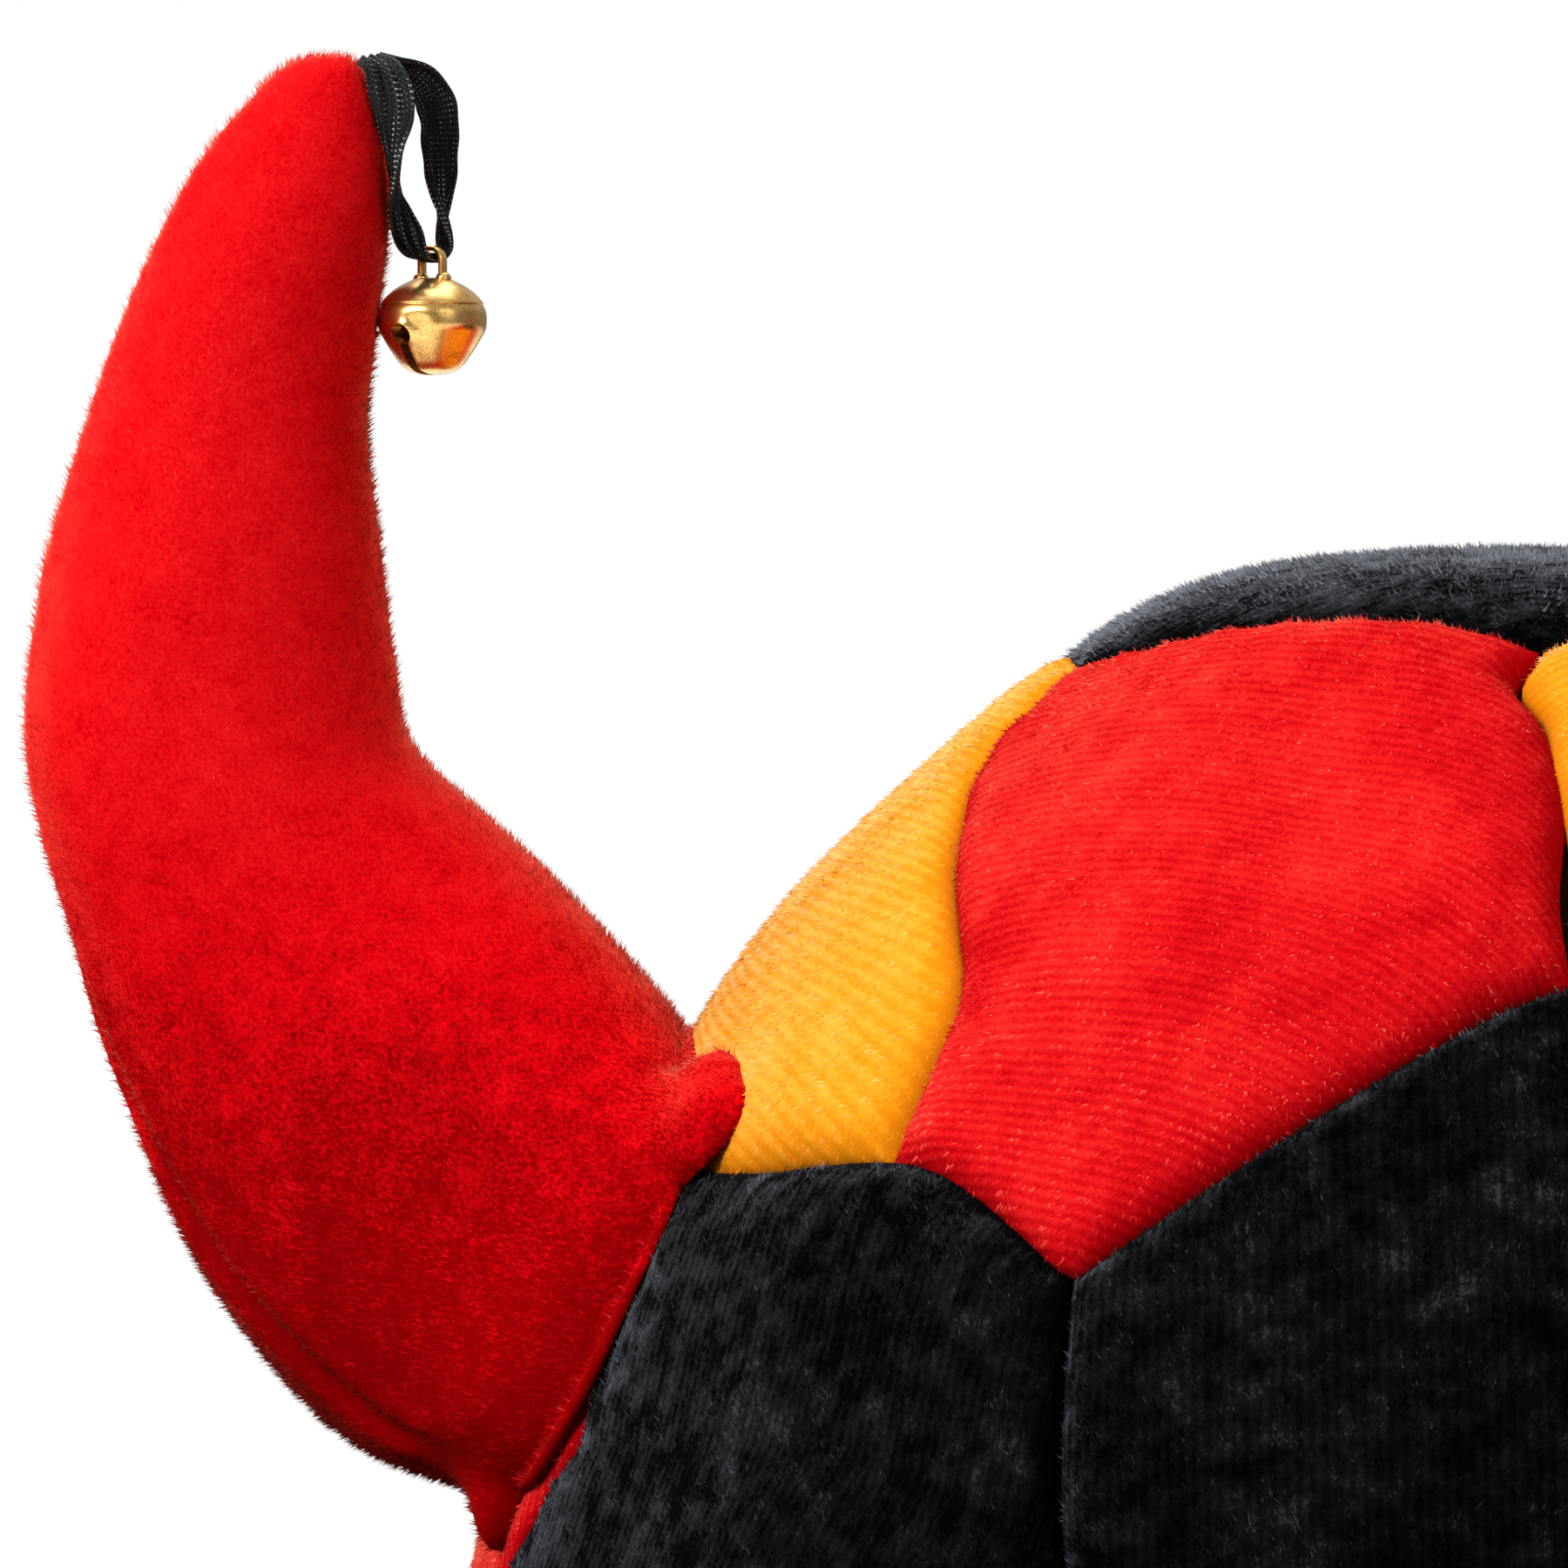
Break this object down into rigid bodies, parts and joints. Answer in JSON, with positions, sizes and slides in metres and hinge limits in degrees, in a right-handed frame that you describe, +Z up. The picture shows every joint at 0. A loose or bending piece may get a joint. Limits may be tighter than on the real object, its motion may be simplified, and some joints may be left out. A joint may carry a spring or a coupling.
{
  "type": "plush fan hat",
  "caption": "Plush supporter's hat: dome of sewn red, yellow and black velour panels, with a stuffed horn on each side that ends in a ribbon loop holding a jingle bell.",
  "frame": {"origin": "middle of the rim, on the surface the hat rests on", "axes": "+Z up, +X towards the horn on the viewer's right, front of the hat towards -Y"},
  "size_m": [0.2696, 0.2168, 0.205],
  "materials": {
    "red_plush": "short-pile plush, about 1 mm, soft sheen",
    "red_velour": "knitted velour with fine rows and brushed patches",
    "yellow_velour": "knitted velour with fine rows",
    "black_velour": "knitted velour with a blue-grey sheen",
    "black_ribbon": "ribbed satin ribbon",
    "brass_bell": "polished stamped brass with light tarnish"
  },
  "bodies": {
    "hat": {"crown_top": "black_velour", "gore_front_left": "red_velour", "gore_side_left": "yellow_velour", "gore_back_left": "red_velour", "gore_back_right": "yellow_velour", "gore_side_right": "red_velour", "gore_front_right": "yellow_velour", "wall_front": "black_velour", "wall_front_left": "black_velour", "wall_side_left": "red_velour", "wall_back_left": "black_velour", "wall_back": "black_velour", "wall_back_right": "black_velour", "wall_side_right": "red_velour", "wall_front_right": "black_velour", "horn_left": "red_plush", "horn_right": "red_plush", "ribbon_left": "black_ribbon", "ribbon_right": "black_ribbon"},
    "left_bell": {"bell_left": "brass_bell"},
    "right_bell": {"bell_right": "brass_bell"}
  },
  "joints": [
    {"name": "bell_left_swing", "type": "hinge", "parent": "hat", "child": "left_bell", "pos_m": [-0.0991, 0, 0.1862], "axis": [-0.5878, -0.809, 0], "range_deg": [0, 50]},
    {"name": "bell_right_swing", "type": "hinge", "parent": "hat", "child": "right_bell", "pos_m": [0.0991, 0, 0.1862], "axis": [-0.5878, 0.809, 0], "range_deg": [0, 50]}
  ]
}
